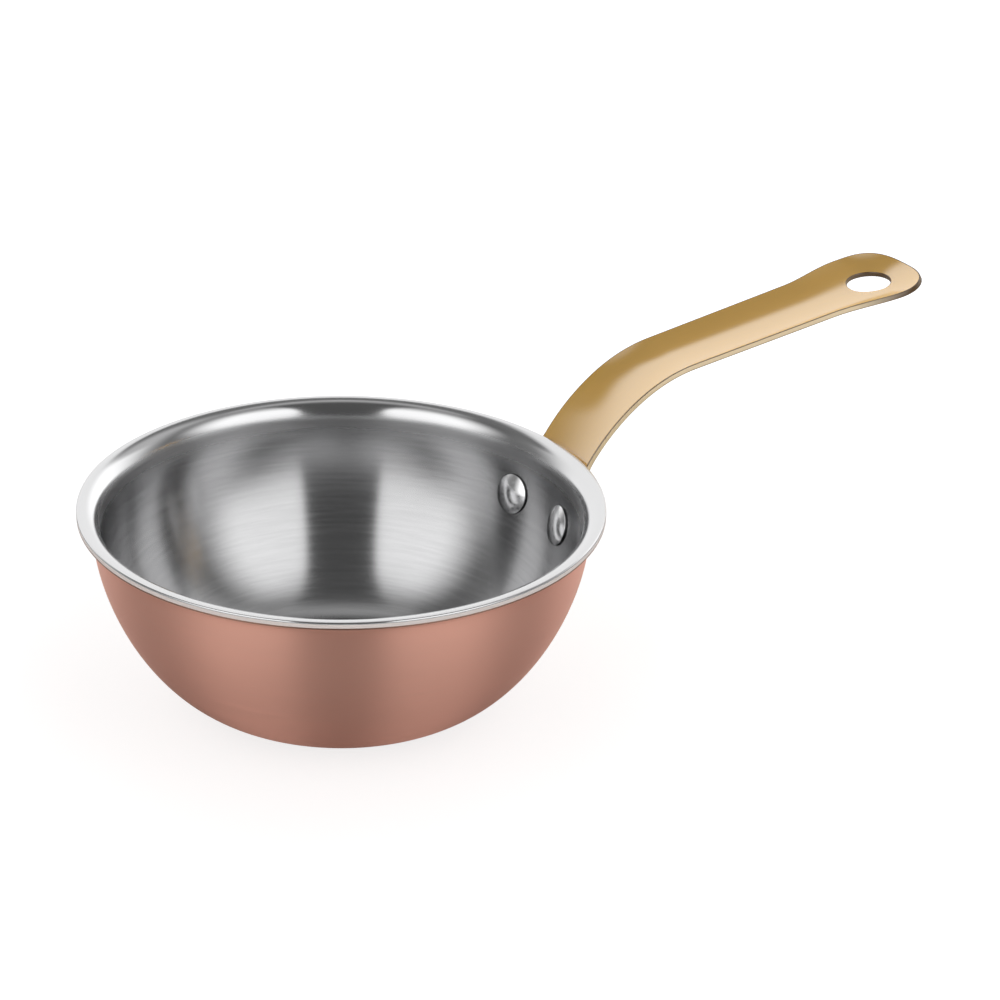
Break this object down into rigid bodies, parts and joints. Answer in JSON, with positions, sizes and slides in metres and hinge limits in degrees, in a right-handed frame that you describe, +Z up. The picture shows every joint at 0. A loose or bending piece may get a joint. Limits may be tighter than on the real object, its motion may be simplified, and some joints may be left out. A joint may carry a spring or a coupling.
{
  "type": "wok",
  "caption": "Small round-bellied wok with a flat base and flared lip, copper outside and steel inside, on a riveted hollow brass strap handle with a hang hole.",
  "frame": {"origin": "centre of the flat base's underside", "axes": "+X along the handle, +Z up out of the bowl's mouth, +Y to the left of the handle as seen from the bowl"},
  "size_m": [0.2547, 0.14, 0.0872],
  "materials": {
    "copper": "brushed and polished copper",
    "aluminium": "bonded core, seen only at the cut edge",
    "steel": "brushed round the bowl, bright on the lip",
    "brass": "satin, brushed along the handle",
    "rivet_steel": "polished"
  },
  "bodies": {
    "root": {"copper_shell": "copper", "aluminium_core": "aluminium", "steel_liner": "steel", "handle": "brass", "rivet_left": "rivet_steel", "rivet_right": "rivet_steel"}
  },
  "joints": []
}
